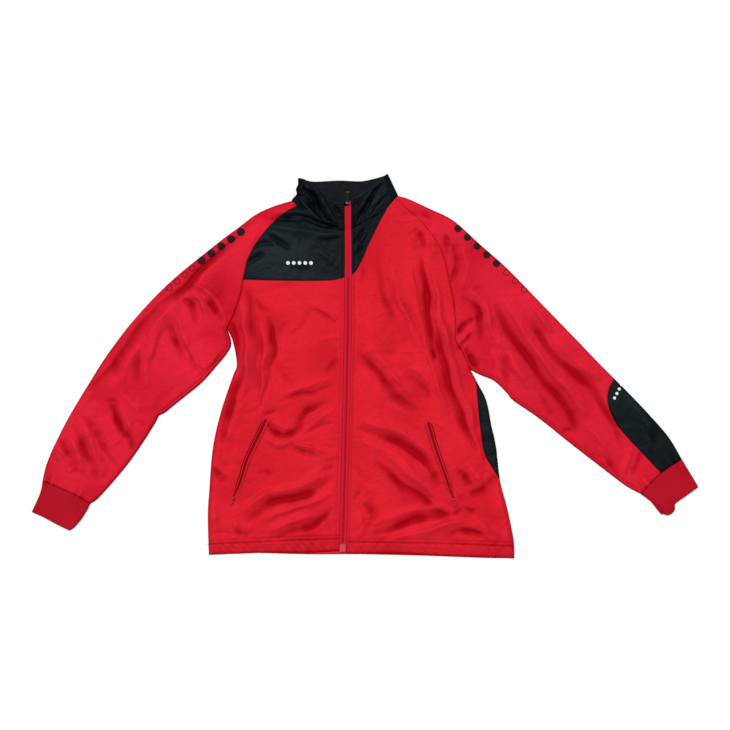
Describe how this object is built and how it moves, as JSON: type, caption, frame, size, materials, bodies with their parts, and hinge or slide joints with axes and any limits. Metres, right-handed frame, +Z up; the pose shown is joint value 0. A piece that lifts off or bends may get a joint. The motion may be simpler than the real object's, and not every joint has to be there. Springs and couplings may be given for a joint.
{
  "type": "track jacket",
  "caption": "Zip-front raglan track jacket with stand collar, chest yoke and rib cuffs, laid flat on its back with the sleeves spread",
  "frame": {"origin": "under the middle of the jacket's box, on the surface it lies on", "axes": "+X across the jacket towards the wearer's left sleeve, +Y towards the collar, +Z up off the surface"},
  "size_m": [1.3359, 0.7703, 0.0165],
  "materials": {
    "red_tricot": "polyester tricot with a slight satin sheen",
    "black_tricot": "blue-black polyester tricot with a slight sheen",
    "red_rib": "matt knitted rib",
    "zip_red": "woven polyester tape and nylon coil",
    "dark_metal": "dark lacquered zinc, worn bright at the edges",
    "red_metal": "red lacquered zinc, worn bright at the edges",
    "pale_red_plastic": "moulded translucent plastic"
  },
  "bodies": {
    "jacket": {"back": "red_tricot", "front_right": "red_tricot", "yoke_right": "black_tricot", "front_left": "red_tricot", "yoke_left": "black_tricot", "side_panel_left": "black_tricot", "sleeve_right": "red_tricot", "sleeve_left": "red_tricot", "forearm_inset_left": "black_tricot", "cuff_right": "red_rib", "cuff_left": "red_rib", "collar": "black_tricot", "zip_tape_right": "zip_red", "zip_tape_left": "zip_red", "zip_chain": "zip_red", "zip_box": "pale_red_plastic", "zip_slider": "dark_metal", "pocket_welt_right": "red_tricot", "pocket_chain_right": "zip_red", "pocket_slider_right": "red_metal", "pocket_welt_left": "red_tricot", "pocket_chain_left": "zip_red", "pocket_slider_left": "red_metal"},
    "zip_tab": {"zip_pull": "dark_metal"},
    "pocket_tab_right": {"pocket_pull_right": "red_metal"},
    "pocket_tab_left": {"pocket_pull_left": "red_metal"}
  },
  "joints": [
    {"name": "zip_tab_hinge", "type": "hinge", "parent": "jacket", "child": "zip_tab", "pos_m": [-0.03456, 0.327, 0.01438], "axis": [1, 0, 0], "range_deg": [0, 170]},
    {"name": "pocket_tab_right_hinge", "type": "hinge", "parent": "jacket", "child": "pocket_tab_right", "pos_m": [-0.26376, -0.26509, 0.01011], "axis": [-0.8955, 0.4451, 0], "range_deg": [0, 170]},
    {"name": "pocket_tab_left_hinge", "type": "hinge", "parent": "jacket", "child": "pocket_tab_left", "pos_m": [0.1763, -0.2674, 0.01187], "axis": [-0.9443, -0.329, 0], "range_deg": [0, 170]}
  ]
}
